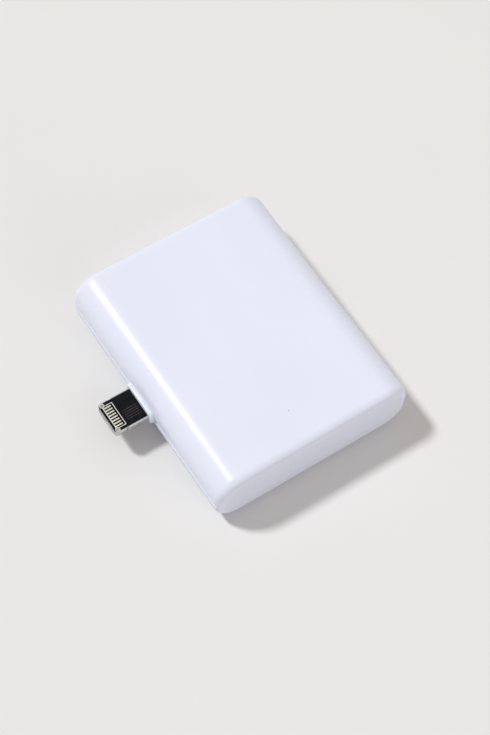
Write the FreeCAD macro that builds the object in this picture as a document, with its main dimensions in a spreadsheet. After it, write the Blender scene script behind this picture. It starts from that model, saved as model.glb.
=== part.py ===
import FreeCAD, Part
import math
import os
import re
import Sketcher

# Plug-in wireless audio receiver: a small two-part plastic case that lies flat, with a slim
# reversible plug out of the middle of one long side. Millimetres, +Z up. The origin is the centre
# of the case's bottom face, the plug points along -X and the case is longest along Y.

doc = FreeCAD.newDocument("audio_receiver")
sheet = doc.addObject("Spreadsheet::Sheet", "Sizes")

SIZES = {
    # case
    "case_length": 48.5,
    "case_width": 40.0,
    "case_height": 12.2,
    "side_radius": 4.9,
    "rim_radius": 1.5,
    "wall": 1.4,
    "cavity_rim_radius": 0.4,
    "seam_height": 5.3,
    "seam_gap": 0.05,
    "reveal_height": 0.5,
    "reveal_depth": 0.16,
    "lip_height": 1.0,
    "lip_thickness": 0.65,
    "lip_gap": 0.05,
    "bead_length": 5.0,
    "bead_radius": 0.3,
    "bead_reach": 0.15,
    "bead_gap": 0.05,
    "bead_offset": 13.0,
    "fit_gap": 0.05,
    "loose_gap": 0.15,
    # plug
    "plug_height": 5.7,
    "plug_width": 6.7,
    "plug_thickness": 1.5,
    "plug_exposed": 6.65,
    "plug_tip_radius": 1.2,
    "plug_edge_radius": 0.35,
    "plug_offset": 0.3,
    "plug_rail": 0.28,
    "plug_tip_bar": 0.2,
    "plug_window_radius": 0.5,
    "plug_lobe_radius": 0.45,
    "plug_lobe_inset": 0.7,
    "plug_lobe_back": 0.8,
    "plug_notch_radius": 0.6,
    "plug_notch_depth": 0.22,
    "plug_notch_back": 2.6,
    "tongue_recess": 0.05,
    "plate_depth": 0.2,
    "core_rail": 0.75,
    "contact_count": 8.0,
    "contact_pitch": 0.57,
    "contact_width": 0.28,
    "contact_length": 1.4,
    "contact_back": 0.8,
    "contact_depth": 0.12,
    "press_gap": 0.02,
    "collar_width": 8.4,
    "collar_thickness": 3.0,
    "collar_radius": 1.3,
    "collar_reach": 0.8,
    "collar_edge_radius": 0.35,
    "collar_flange": 0.7,
    "collar_flange_rise": 0.4,
    "collar_flange_depth": 0.6,
    "collar_set_back": 0.3,
    "bracket_length": 3.4,
    "bracket_steel": 0.25,
    "bracket_wing": 1.9,
    # board and what stands on it
    "board_thickness": 0.8,
    "board_gap": 0.3,
    "board_corner": 2.0,
    "post_inset": 4.0,
    "post_radius": 1.6,
    "pilot_radius": 0.62,
    "pilot_depth": 3.2,
    "screw_radius": 0.6,
    "screw_depth": 2.8,
    "screw_head_radius": 1.2,
    "screw_head_height": 0.65,
    "screw_slot": 0.28,
    "screw_slot_length": 1.56,
    "clamp_radius": 0.9,
    "clamp_inset": 6.5,
    "clamp_offset": 8.5,
    "can_side": 8.4,
    "can_height": 1.35,
    "can_steel": 0.15,
    "can_vent_radius": 0.3,
    "can_vent_pitch": 1.7,
    "can_corner": 0.4,
    "can_x": -3.5,
    "can_y": 6.0,
    "radio_side": 5.0,
    "radio_height": 0.85,
    "chip_height": 0.8,
    "chip_corner": 0.15,
    "antenna_length": 5.2,
    "antenna_width": 2.0,
    "antenna_height": 1.0,
    "antenna_x": -3.5,
    "crystal_length": 2.5,
    "crystal_width": 2.0,
    "crystal_height": 0.6,
    "audio_side": 4.0,
    "audio_x": -3.0,
    "audio_y": -5.5,
    "memory_length": 5.0,
    "memory_width": 4.0,
    "memory_x": 5.0,
    "memory_y": 8.5,
    "small_chip_side": 2.0,
    "charge_side": 3.0,
    "charge_x": 6.0,
    "charge_y": 2.5,
    "coil_side": 3.0,
    "coil_height": 1.5,
    "coil_x": 3.8,
    "coil_y": -3.0,
    "passive_length": 1.0,
    "passive_width": 0.5,
    "passive_pitch": 1.1,
    "audio_capacitors": 5.0,
    "power_capacitors": 3.0,
    "output_capacitors": 2.0,
    "memory_resistors": 4.0,
    "plug_resistors": 3.0,
    "capacitor_height": 0.5,
    "resistor_height": 0.35,
    "output_x": 0.8,
    "output_y": -11.5,
    # button and its switch
    "button_inset": 9.6,
    "button_width": 6.6,
    "button_height": 2.6,
    "button_corner": 1.25,
    "button_proud": 0.4,
    "button_travel": 0.25,
    "button_gap": 0.12,
    "button_edge_radius": 0.25,
    "flange_margin": 0.5,
    "flange_depth": 0.7,
    "switch_width": 4.4,
    "switch_depth": 3.0,
    "switch_height": 1.6,
    "switch_steel": 0.15,
    "plunger_width": 2.2,
    "plunger_height": 0.8,
    "pocket_depth": 1.9,
    "dome_rise": 0.3,
    "dome_steel": 0.1,
    # status light
    "light_inset": 10.6,
    "light_rise": 1.1,
    "light_radius": 0.8,
    "light_flange_radius": 1.05,
    "light_flange_depth": 0.6,
    "led_length": 1.6,
    "led_depth": 0.8,
    "led_height": 0.7,
    # battery
    "battery_thickness": 3.2,
    "battery_corner": 1.2,
    "battery_edge_radius": 0.6,
    "battery_gap": 0.5,
    "pad_thickness": 0.3,
    "pad_margin": 3.0,
    "battery_board_width": 12.0,
    "battery_board_thickness": 0.8,
    "battery_board_height": 2.4,
    "rib_height": 1.6,
    "rib_thickness": 0.8,
    "rib_length": 6.0,
    "lead_radius": 0.4,
    "lead_spacing": 2.4,
    "lead_bend": 1.3,
    "lead_rise": 0.55,
    "lead_start": 0.9,
    "joint_radius": 0.9,
    "joint_height": 0.35,
    # charging socket
    "socket_offset": 4.0,
    "socket_width": 8.94,
    "socket_height": 3.16,
    "socket_corner": 1.5,
    "socket_steel": 0.3,
    "socket_length": 7.3,
    "socket_recess": 0.4,
    "socket_base": 1.4,
    "socket_tongue_width": 6.69,
    "socket_tongue_height": 0.7,
    "socket_tongue_front": 0.9,
    "socket_contact_count": 6.0,
    "socket_contact_pitch": 1.0,
    "socket_contact_width": 0.4,
    "socket_contact_length": 3.4,
    "socket_contact_steel": 0.08,
    "socket_wing": 1.1,
    "socket_wing_length": 3.6,
    "socket_wing_back": 0.9,
    # audio jack
    "jack_offset": 13.5,
    "jack_bore_radius": 1.78,
    "jack_depth": 13.2,
    "jack_back": 0.6,
    "jack_width": 6.0,
    "jack_height": 5.0,
    "jack_corner": 0.3,
    "jack_nose_radius": 2.45,
    "jack_recess": 0.2,
    "jack_set_back": 0.6,
    "jack_contact_steel": 0.2,
    "jack_contact_length": 2.0,
    "jack_contact_pitch": 3.2,
    "jack_leaf_drop": 0.6,
    "jack_foot_length": 1.0,
    "jack_foot_reach": 0.9,
}
for row, (alias, value) in enumerate(SIZES.items(), start=1):
    sheet.set("A%d" % row, alias.replace("_", " "))
    sheet.set("B%d" % row, repr(value))
    sheet.setAlias("B%d" % row, alias)
doc.recompute()

# Places that several pieces share, as expressions of the sizes.
SIDE = "(case_width / 2)"
END = "(case_length / 2)"
INNER_SIDE = "(case_width / 2 - wall)"
INNER_END = "(case_length / 2 - wall)"
ROOF = "(case_height - wall)"
BOARD_TOP = "(plug_height + board_thickness / 2)"
BOARD_LOW = "(plug_height - board_thickness / 2)"
PLUG_ROOT = "(case_width / 2 + collar_reach)"
PLUG_TIP = "(case_width / 2 + collar_reach + plug_exposed)"
FLANGE_BACK = "(case_width / 2 - wall - collar_set_back - collar_flange_depth)"
SOCKET_MOUTH = "(case_width / 2 - socket_recess)"
JACK_FRONT = "(case_width / 2 - wall - jack_set_back)"
JACK_MOUTH = "(case_width / 2 - jack_recess)"
JACK_END = "(case_width / 2 - jack_recess - jack_depth - jack_back)"
CAP_BACK = "(case_length / 2 - wall - fit_gap - flange_depth)"
BUTTON_HEIGHT = "(plug_height + board_thickness / 2 + switch_height / 2)"
SWITCH_FRONT = "(case_length / 2 - wall - fit_gap - flange_depth - 3 * button_travel)"
LIGHT_HEIGHT = "(plug_height + board_thickness / 2 + light_rise)"
BUTTON_PLACE = "(button_inset + wall - case_width / 2)"
LIGHT_PLACE = "(case_width / 2 - wall - light_inset)"
POST_X = "(case_width / 2 - wall - post_inset)"
POST_Y = "(case_length / 2 - wall - post_inset)"
BRACKET_BACK = "(%s - bracket_length)" % FLANGE_BACK
CELL_LOW = "(wall + pad_thickness)"
CELL_LEFT = "(%s - battery_gap)" % BRACKET_BACK
CELL_RIGHT = "(%s - battery_gap)" % JACK_END
CELL_FRONT = "(%s - post_radius - battery_gap)" % POST_Y
CELL_BACK = "(%s - battery_board_thickness)" % CELL_FRONT

words = re.compile(r"[a-z][a-z_]+")


def bind(thing, name, expression):
    """Tie a property to the sheet; sizes are written without the sheet's name."""
    thing.setExpression(name, words.sub(lambda word: "Sizes." + word.group(), str(expression)))


def place(thing, at):
    for axis, expression in zip("xyz", at):
        bind(thing, "Placement.Base." + axis, expression)


def along(shape_edge, axis):
    box = shape_edge.BoundBox
    spans = [box.XLength, box.YLength, box.ZLength]
    return spans[axis] > 1e-6 and sum(spans) - spans[axis] < 1e-6


def at_end(shape_edge, axis, end):
    box = shape_edge.BoundBox
    low, high = ((box.XMin, box.XMax), (box.YMin, box.YMax), (box.ZMin, box.ZMax))[axis]
    return abs(low - end) < 1e-6 and abs(high - end) < 1e-6


def round_edges(body, base, radius, chosen):
    edges = ["Edge%d" % number for number, edge in enumerate(base.Shape.Edges, start=1) if chosen(edge)]
    fillet = body.newObject("PartDesign::Fillet", body.Name + "_round")
    fillet.Base = (base, edges)
    bind(fillet, "Radius", radius)
    doc.recompute()
    return fillet


def prism(name, plane, across, up, deep, at, corner=None, rims=()):
    """A rectangle sketched on the body's own plane and padded both ways; its long edges may be
    rounded, and then the rim at each end listed as (-1 or 1, radius). at is its centre."""
    body = doc.addObject("PartDesign::Body", name)
    outline = body.newObject("Sketcher::SketchObject", name + "_outline")
    own_plane = [each for each in body.Origin.OriginFeatures if each.Role == plane][0]
    outline.AttachmentSupport = [(own_plane, "")]
    outline.MapMode = "FlatFace"
    points = [FreeCAD.Vector(x, y, 0) for x, y in ((-5, -5), (5, -5), (5, 5), (-5, 5))]
    for number in range(4):
        outline.addGeometry(Part.LineSegment(points[number], points[(number + 1) % 4]), False)
    for number in range(4):
        following = (number + 1) % 4
        outline.addConstraint(Sketcher.Constraint("Coincident", number, 2, following, 1))
    for number in (0, 2):
        outline.addConstraint(Sketcher.Constraint("Horizontal", number))
        outline.addConstraint(Sketcher.Constraint("Vertical", number + 1))
    outline.addConstraint(Sketcher.Constraint("Symmetric", 0, 1, 1, 2, -1, 1))
    wide = outline.addConstraint(Sketcher.Constraint("DistanceX", 0, 1, 0, 2, 10.0))
    tall = outline.addConstraint(Sketcher.Constraint("DistanceY", 1, 1, 1, 2, 10.0))
    outline.renameConstraint(wide, "across")
    outline.renameConstraint(tall, "up")
    bind(outline, "Constraints.across", across)
    bind(outline, "Constraints.up", up)
    pad = body.newObject("PartDesign::Pad", name + "_pad")
    pad.Profile = outline
    pad.SideType = "Symmetric"
    bind(pad, "Length", deep)
    doc.recompute()
    axis = {"YZ_Plane": 0, "XZ_Plane": 1, "XY_Plane": 2}[plane]
    last = pad
    if corner:
        last = round_edges(body, last, corner, lambda edge: along(edge, axis))
    for side, radius in rims:
        end = side * pad.Length.Value / 2
        last = round_edges(body, last, radius, lambda edge: at_end(edge, axis, end))
    body.Tip = last
    place(body, at)
    return body


def block(name, size, at):
    """A plain box; at is the centre of its lower face."""
    box = doc.addObject("Part::Box", name)
    for property_name, expression in zip(("Length", "Width", "Height"), size):
        bind(box, property_name, expression)
    place(box, ("%s - (%s) / 2" % (at[0], size[0]), "%s - (%s) / 2" % (at[1], size[1]), at[2]))
    return box


TURNS = {
    "x": FreeCAD.Rotation(FreeCAD.Vector(0, 1, 0), 90),
    "y": FreeCAD.Rotation(FreeCAD.Vector(1, 0, 0), -90),
    "z": FreeCAD.Rotation(),
}


def rod(name, axis, radius, length, at):
    """A cylinder that starts at at and runs along the named axis."""
    cylinder = doc.addObject("Part::Cylinder", name)
    bind(cylinder, "Radius", radius)
    bind(cylinder, "Height", length)
    cylinder.Placement.Rotation = TURNS[axis]
    place(cylinder, at)
    return cylinder


def group(name, members):
    compound = doc.addObject("Part::Compound", name)
    compound.Links = members
    return compound


def join(name, *members):
    fused = doc.addObject("Part::MultiFuse", name)
    fused.Shapes = list(members)
    fused.Refine = True
    return fused


def cut(name, base, *tools):
    result = doc.addObject("Part::Cut", name)
    result.Base = base
    result.Tool = tools[0] if len(tools) == 1 else join(name + "_tools", *tools)
    result.Refine = True
    return result


def common(name, base, tool):
    result = doc.addObject("Part::Common", name)
    result.Base = base
    result.Tool = tool
    return result


nodes = {}


def node(name, thing):
    """Name a finished sub-part, which is written to a file of that name."""
    thing.Label = name
    nodes[name] = thing
    return thing


# The case: a section with nearly full-round long edges, drawn out along Y, with softly rounded
# ends, and hollow. The top cover has both end walls down to the case's foot; the bottom cover is a
# tray that lies between them and carries a lip all round, which fits inside the top cover's wall.
# Its beads snap into the top cover's grooves, and a shallow reveal follows the seam on each side.
both_rims = ((-1, "rim_radius"), (1, "rim_radius"))
cavity_rims = ((-1, "cavity_rim_radius"), (1, "cavity_rim_radius"))
case_middle = ("0", "0", "case_height / 2")
case_outer = prism("case_outer", "XZ_Plane", "case_width", "case_height", "case_length",
                   case_middle, "side_radius", both_rims)
cavity = prism("case_cavity", "XZ_Plane", "2 * " + INNER_SIDE, "case_height - 2 * wall", "2 * " + INNER_END,
               case_middle, "side_radius - wall", cavity_rims)
shell = cut("case_shell", case_outer, cavity)

LIP_INSET = "(wall - lip_thickness)"
TRAY_LENGTH = "(case_length - 2 * %s)" % LIP_INSET


def lip_prism(name, gap, low, high):
    return prism(name, "XY_Plane", "case_width - 2 * %s + 2 * %s" % (LIP_INSET, gap),
                 "%s + 2 * %s" % (TRAY_LENGTH, gap), "%s - (%s)" % (high, low),
                 ("0", "0", "(%s + %s) / 2" % (high, low)), "rim_radius - %s + %s" % (LIP_INSET, gap))


lip_solid = lip_prism("lip_solid", "0", "seam_height - lip_height", "seam_height + lip_height")
lip_room = lip_prism("lip_room", "lip_gap", "seam_height - lip_height", "seam_height + lip_height")
lip_ring = cut("lip_ring", lip_solid, cavity)


def bead_rods(name, grow):
    """Half-round beads along the lip's outer face, grown by a gap for the grooves they snap into."""
    centre = "(%s + bead_reach - bead_radius)"
    side = centre % ("case_width / 2 - " + LIP_INSET)
    end = centre % ("case_length / 2 - " + LIP_INSET)
    height = "seam_height + lip_height / 2"
    radius = "bead_radius + " + grow
    length = "bead_length + 2 * " + grow
    rods = []
    for number, (sign, along_side) in enumerate((("-", "bead_offset"), ("-", "-bead_offset"),
                                                 ("", "bead_offset"), ("", "-bead_offset / 2"))):
        start = (sign + side, "%s - (%s) / 2" % (along_side, length), height)
        rods.append(rod("%s_side_%d" % (name, number), "y", radius, length, start))
    for number, sign in enumerate(("-", "")):
        start = ("-(%s) / 2" % length, sign + end, height)
        rods.append(rod("%s_end_%d" % (name, number), "x", radius, length, start))
    return rods


def wall_opening(name, plane, across, up, gap, corner, at):
    return prism(name, plane, "%s + 2 * %s" % (across, gap), "%s + 2 * %s" % (up, gap), "3 * wall",
                 at, "%s + %s" % (corner, gap))


openings = [
    wall_opening("collar_opening", "YZ_Plane", "collar_width", "collar_thickness", "fit_gap",
                 "collar_radius", ("-" + SIDE, "plug_offset", "plug_height")),
    wall_opening("socket_opening", "YZ_Plane", "socket_width", "socket_height", "fit_gap",
                 "socket_corner", (SIDE, "socket_offset", "plug_height")),
    rod("jack_opening", "x", "jack_nose_radius + fit_gap", "3 * wall",
        (SIDE + " - 2 * wall", "-jack_offset", "plug_height")),
    wall_opening("button_opening", "XZ_Plane", "button_width", "button_height", "button_gap",
                 "button_corner", (BUTTON_PLACE, END, BUTTON_HEIGHT)),
    rod("light_opening", "y", "light_radius + fit_gap", "3 * wall",
        (LIGHT_PLACE, END + " - 2 * wall", LIGHT_HEIGHT)),
]

corners = [(x_sign, y_sign) for x_sign in ("-", "") for y_sign in ("-", "")]
posts = []
pilots = []
board_holes = []
screws = []
for number, (x_sign, y_sign) in enumerate(corners):
    spot = (x_sign + POST_X, y_sign + POST_Y)
    posts.append(rod("post_%d" % number, "z", "post_radius", BOARD_LOW + " - wall / 2", spot + ("wall / 2",)))
    pilots.append(rod("pilot_%d" % number, "z", "pilot_radius", "pilot_depth + board_thickness",
                      spot + (BOARD_LOW + " - pilot_depth",)))
    board_holes.append(rod("board_hole_%d" % number, "z", "screw_radius + fit_gap", "3 * board_thickness",
                           spot + (BOARD_LOW + " - board_thickness",)))
    shank = rod("screw_shank_%d" % number, "z", "screw_radius",
                "screw_depth + board_thickness + screw_head_height / 2",
                spot + (BOARD_LOW + " - screw_depth",))
    head = rod("screw_head_%d" % number, "z", "screw_head_radius", "screw_head_height", spot + (BOARD_TOP,))
    slot_low = BOARD_TOP + " + screw_head_height / 2"
    slots = [block("screw_slot_%s_%d" % (way, number), size, spot + (slot_low,))
             for way, size in (("a", ("screw_slot_length", "screw_slot", "screw_head_height")),
                               ("b", ("screw_slot", "screw_slot_length", "screw_head_height")))]
    screw = join("screw_%d" % number, shank, head)
    screws.append(cut("screw_cut_%d" % number, screw, join("screw_cross_%d" % number, *slots)))

ribs = []
for number, sign in enumerate(("-", "")):
    for side, edge in (("left", "-" + CELL_LEFT + " - loose_gap - rib_thickness / 2"),
                       ("right", CELL_RIGHT + " + loose_gap + rib_thickness / 2")):
        ribs.append(block("rib_%s_%d" % (side, number),
                          ("rib_thickness", "rib_length", "rib_height + wall / 2"),
                          (edge, sign + "rib_length", "wall / 2")))

tray_space = block("tray_space", ("2 * case_width", TRAY_LENGTH, "seam_height"), ("0", "0", "0"))
bottom_plain = common("bottom_plain", shell, tray_space)
bottom_built = join("bottom_built", bottom_plain, lip_ring, *(bead_rods("bead", "0") + posts + ribs))
node("bottom_cover", cut("bottom_cover", bottom_built, *(openings + pilots)))

tray_room = block("tray_room", ("2 * case_width", TRAY_LENGTH + " + 2 * lip_gap", "seam_height + seam_gap"),
                  ("0", "0", "0"))
reveals = [block("reveal_%d" % number, ("2 * reveal_depth", TRAY_LENGTH, "reveal_height"),
                 (sign + SIDE, "0", "seam_height")) for number, sign in enumerate(("-", ""))]
room = join("lip_and_bead_room", lip_room, *bead_rods("bead_groove", "bead_gap"))
top_plain = cut("top_plain", shell, tray_room, *reveals)
top_hollowed = cut("top_hollowed", cut("top_rebated", top_plain, room), *openings)
clamps = [rod("clamp_%d" % number, "z", "clamp_radius", ROOF + " + wall / 2 - %s - loose_gap" % BOARD_TOP,
              ("-(%s - clamp_inset)" % INNER_SIDE, sign + "clamp_offset", BOARD_TOP + " + loose_gap"))
          for number, sign in enumerate(("-", ""))]
node("top_cover", join("top_cover", top_hollowed, *clamps))

# The plug: a machined metal frame open at its root, a black board that fills it, and gold
# contacts set into both faces near the tip. A moulded collar holds it in the case wall.
TAB_LENGTH = "(%s - %s)" % (PLUG_TIP, FLANGE_BACK)
TAB_MIDDLE = "-(%s + %s) / 2" % (PLUG_TIP, FLANGE_BACK)
tab = prism("plug_tab", "XY_Plane", TAB_LENGTH, "plug_width", "plug_thickness",
            (TAB_MIDDLE, "plug_offset", "plug_height"), "plug_tip_radius",
            ((-1, "plug_edge_radius"), (1, "plug_edge_radius")))


def inlay(name, tip_bar, rail, rise, back, middle_z):
    """A slab inside the tab, from tip_bar behind its tip to back, rail in from its sides."""
    length = "(%s - %s - %s)" % (PLUG_TIP, tip_bar, back)
    middle = ("-%s + %s + %s / 2" % (PLUG_TIP, tip_bar, length), "plug_offset", middle_z)
    return prism(name, "XY_Plane", length, "plug_width - 2 * " + rail, rise, middle,
                 "plug_window_radius")


OPEN_BACK = "(%s - 2 * plug_window_radius)" % FLANGE_BACK
PLATE_HEIGHT = "(plug_thickness / 2 - plate_depth)"
window = inlay("plug_window", "core_rail", "core_rail", "2 * plug_thickness", OPEN_BACK, "plug_height")
plate_rooms = [inlay("plate_room_%d" % number, "plug_tip_bar", "plug_rail", "2 * plate_depth", OPEN_BACK,
                     "plug_height %s (%s + plate_depth)" % (sign, PLATE_HEIGHT))
               for number, sign in enumerate(("-", "+"))]
lobes = []
notches = []
for number, sign in enumerate(("-", "+")):
    low = "plug_height - plug_thickness / 2"
    lobe_x = "-%s + plug_lobe_back" % PLUG_TIP
    lobe_y = "plug_offset %s (plug_width / 2 - plug_lobe_inset)" % sign
    lobe = rod("plug_lobe_%d" % number, "z", "plug_lobe_radius", "plug_thickness", (lobe_x, lobe_y, low))
    neck_y = "plug_offset %s (plug_width / 2 - (plug_lobe_inset + plug_rail) / 2)" % sign
    neck = block("plug_neck_%d" % number,
                 ("2 * plug_lobe_radius", "plug_lobe_inset - plug_rail", "plug_thickness"),
                 (lobe_x, neck_y, low))
    lobes.append(join("plug_bump_%d" % number, lobe, neck))
    notch_spot = ("-%s + plug_notch_back" % PLUG_TIP,
                  "plug_offset %s (plug_width / 2 + plug_notch_radius - plug_notch_depth)" % sign,
                  "plug_height - plug_thickness")
    notches.append(rod("plug_notch_%d" % number, "z", "plug_notch_radius", "2 * plug_thickness", notch_spot))
ring = cut("plug_ring", cut("plug_recessed", tab, *plate_rooms), window)
node("plug_frame", cut("plug_frame", join("plug_ring_lobed", ring, *lobes), *notches))

core = inlay("tongue_core", "core_rail", "core_rail", "plug_thickness - 2 * plate_depth", BRACKET_BACK,
             "plug_height")
plates = [inlay("tongue_plate_%d" % number, "plug_tip_bar", "plug_rail", "plate_depth - tongue_recess",
                BRACKET_BACK, "plug_height %s (%s + (plate_depth - tongue_recess) / 2)" % (sign, PLATE_HEIGHT))
          for number, sign in enumerate(("-", "+"))]
pads = {"upper": [], "lower": []}
for number in range(int(SIZES["contact_count"])):
    row = "plug_offset + (%d - (contact_count - 1) / 2) * contact_pitch" % number
    x_place = "-%s + contact_back + contact_length / 2" % PLUG_TIP
    for face, low in (("upper", "plug_height + plug_thickness / 2 - contact_depth"),
                      ("lower", "plug_height - plug_thickness / 2")):
        pads[face].append(block("contact_%s_%d" % (face, number),
                                ("contact_length", "contact_width", "contact_depth"), (x_place, row, low)))
tongue_cutters = lobes + pads["upper"] + pads["lower"]
node("plug_tongue", cut("plug_tongue", join("tongue_built", core, *plates), *tongue_cutters))
node("plug_contacts_upper", group("plug_contacts_upper", pads["upper"]))
node("plug_contacts_lower", group("plug_contacts_lower", pads["lower"]))

collar_tube = prism("collar_tube", "YZ_Plane", "collar_width", "collar_thickness",
                    "%s - %s" % (PLUG_ROOT, FLANGE_BACK),
                    ("-(%s + %s) / 2" % (PLUG_ROOT, FLANGE_BACK), "plug_offset", "plug_height"),
                    "collar_radius", ((-1, "collar_edge_radius"),))
collar_flange = prism("collar_flange", "YZ_Plane", "collar_width + 2 * collar_flange",
                      "collar_thickness + 2 * collar_flange_rise", "collar_flange_depth",
                      ("-(%s + collar_flange_depth / 2)" % FLANGE_BACK, "plug_offset", "plug_height"),
                      "collar_radius")
collar_bore = prism("collar_bore", "YZ_Plane", "plug_width + 2 * press_gap", "plug_thickness + 2 * press_gap",
                    "4 * wall", ("-" + SIDE, "plug_offset", "plug_height"), "plug_edge_radius")
node("plug_collar", cut("plug_collar", join("collar_built", collar_tube, collar_flange), collar_bore))

BRACKET_MIDDLE = "-(%s + %s) / 2" % (FLANGE_BACK, BRACKET_BACK)
bracket_sleeve = block("bracket_sleeve",
                       ("bracket_length - 2 * fit_gap", "plug_width + 2 * fit_gap + 2 * bracket_steel",
                        "plug_thickness + 2 * fit_gap + 2 * bracket_steel"),
                       (BRACKET_MIDDLE, "plug_offset",
                        "plug_height - plug_thickness / 2 - fit_gap - bracket_steel"))
bracket_room = block("bracket_room", ("2 * bracket_length", "plug_width + 2 * fit_gap",
                                      "plug_thickness + 2 * fit_gap"),
                     (BRACKET_MIDDLE, "plug_offset", "plug_height - plug_thickness / 2 - fit_gap"))
WING_SPAN = "(plug_width + 2 * fit_gap + 2 * bracket_steel + 2 * bracket_wing)"
bracket_wings = block("bracket_wings", ("bracket_length - 2 * fit_gap", WING_SPAN, "bracket_steel"),
                      (BRACKET_MIDDLE, "plug_offset", BOARD_TOP))
node("plug_bracket", cut("plug_bracket", join("bracket_built", bracket_sleeve, bracket_wings), bracket_room))

# The charging socket: a drawn steel shell, a moulded tongue with a base that closes the shell's
# back, and spring contacts along both faces of the tongue. It sits in a notch of the board.
SOCKET_BACK = "(%s - socket_length)" % SOCKET_MOUTH
socket_middle = ("(%s + %s) / 2" % (SOCKET_MOUTH, SOCKET_BACK), "socket_offset", "plug_height")
socket_tube = prism("socket_tube", "YZ_Plane", "socket_width", "socket_height", "socket_length",
                    socket_middle, "socket_corner")
SOCKET_WINGS = "(socket_width + 2 * socket_wing)"
socket_wings = block("socket_wings", ("socket_wing_length", SOCKET_WINGS, "socket_steel"),
                     (socket_middle[0] + " - socket_wing_back", "socket_offset", BOARD_TOP))
socket_bore = prism("socket_bore", "YZ_Plane", "socket_width - 2 * socket_steel",
                    "socket_height - 2 * socket_steel", "2 * socket_length", socket_middle,
                    "socket_corner - socket_steel")
node("charge_socket_shell",
     cut("charge_socket_shell", join("socket_built", socket_tube, socket_wings), socket_bore))
socket_base = prism("socket_base_plug", "YZ_Plane", "socket_width - 2 * socket_steel - 2 * press_gap",
                    "socket_height - 2 * socket_steel - 2 * press_gap", "socket_base",
                    (SOCKET_BACK + " + socket_base / 2", "socket_offset", "plug_height"),
                    "socket_corner - socket_steel - press_gap")
SOCKET_TONGUE = "(socket_length - socket_tongue_front - socket_base / 2)"
TONGUE_BACK = "(%s + socket_base / 2)" % SOCKET_BACK
tongue_middle = (TONGUE_BACK + " + %s / 2" % SOCKET_TONGUE, "socket_offset", "plug_height")
socket_tongue = prism("socket_tongue_slab", "YZ_Plane", "socket_tongue_width", "socket_tongue_height",
                      SOCKET_TONGUE, tongue_middle)
node("charge_socket_tongue", join("charge_socket_tongue", socket_base, socket_tongue))
socket_contacts = []
for number in range(int(SIZES["socket_contact_count"])):
    row = "socket_offset + (%d - (socket_contact_count - 1) / 2) * socket_contact_pitch" % number
    x_place = "%s + socket_base + socket_contact_length / 2" % SOCKET_BACK
    for face, low in (("upper", "plug_height + socket_tongue_height / 2"),
                      ("lower", "plug_height - socket_tongue_height / 2 - socket_contact_steel")):
        size = ("socket_contact_length", "socket_contact_width", "socket_contact_steel")
        socket_contacts.append(block("socket_contact_%s_%d" % (face, number), size, (x_place, row, low)))
node("charge_socket_contacts", group("charge_socket_contacts", socket_contacts))

# The audio jack: a moulded body with a round nose that reaches through the wall, and three spring
# contacts in slots along the bore, each with a foot soldered to the board.
JACK_LENGTH = "(%s - %s)" % (JACK_FRONT, JACK_END)
jack_block = prism("jack_block", "YZ_Plane", "jack_width", "jack_height", JACK_LENGTH,
                   ("(%s + %s) / 2" % (JACK_FRONT, JACK_END), "-jack_offset", "plug_height"), "jack_corner")
jack_nose = rod("jack_nose", "x", "jack_nose_radius", "%s - %s + wall" % (JACK_MOUTH, JACK_FRONT),
                (JACK_FRONT + " - wall", "-jack_offset", "plug_height"))
jack_bore = rod("jack_bore", "x", "jack_bore_radius", "2 * jack_depth",
                (JACK_MOUTH + " - jack_depth", "-jack_offset", "plug_height"))
jack_contacts = []
jack_slots = []
for number, side in enumerate((1, -1, 1)):
    x_place = "%s + jack_back + (%d + 0.5) * jack_contact_pitch" % (JACK_END, number)
    leaf_rise = "%s + jack_contact_steel - plug_height + jack_leaf_drop" % BOARD_TOP
    leaf_y = "-jack_offset + %d * (jack_bore_radius + press_gap + jack_contact_steel / 2)" % side
    foot_span = "jack_width / 2 + jack_foot_reach - jack_bore_radius - press_gap"
    foot_y = "-jack_offset + %d * (jack_bore_radius + press_gap + (%s) / 2)" % (side, foot_span)
    leaf = block("jack_leaf_%d" % number, ("jack_contact_length", "jack_contact_steel", leaf_rise),
                 (x_place, leaf_y, "plug_height - jack_leaf_drop"))
    foot = block("jack_foot_%d" % number, ("jack_foot_length", foot_span, "jack_contact_steel"),
                 (x_place, foot_y, BOARD_TOP))
    jack_contacts.append(join("jack_contact_%d" % number, leaf, foot))
    slot_y = "-jack_offset + %d * (jack_bore_radius + jack_contact_steel / 2)" % side
    jack_slots.append(block("jack_leaf_slot_%d" % number,
                            ("jack_contact_length + 2 * fit_gap", "jack_contact_steel * 2 + 2 * press_gap",
                             leaf_rise + " + 2 * fit_gap"),
                            (x_place, slot_y, "plug_height - jack_leaf_drop - fit_gap")))
    jack_slots.append(block("jack_foot_slot_%d" % number,
                            ("jack_foot_length + 2 * fit_gap", foot_span, "jack_contact_steel + 2 * fit_gap"),
                            (x_place, foot_y, BOARD_TOP + " - fit_gap")))
jack_body = cut("jack_body_bored", join("jack_built", jack_block, jack_nose), jack_bore)
node("audio_jack_body", cut("audio_jack_body", jack_body, join("jack_slots", *jack_slots)))
node("audio_jack_contacts", group("audio_jack_contacts", jack_contacts))

# The main board: it fills the case at the plug's height, notched for the plug's bracket, both
# sockets and the button's flange, with a slot for the battery's leads.
board_slab = prism("board_slab", "XY_Plane", "2 * (%s - board_gap)" % INNER_SIDE,
                   "2 * (%s - board_gap)" % INNER_END, "board_thickness", ("0", "0", "plug_height"),
                   "board_corner")
NOTCH_LOW = BOARD_LOW + " - board_thickness"


def board_notch(name, x_from, x_to, y_from, y_to):
    size = ("(%s) - (%s)" % (x_to, x_from), "(%s) - (%s)" % (y_to, y_from), "3 * board_thickness")
    middle = ("((%s) + (%s)) / 2" % (x_to, x_from), "((%s) + (%s)) / 2" % (y_to, y_from), NOTCH_LOW)
    return block(name, size, middle)


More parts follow.
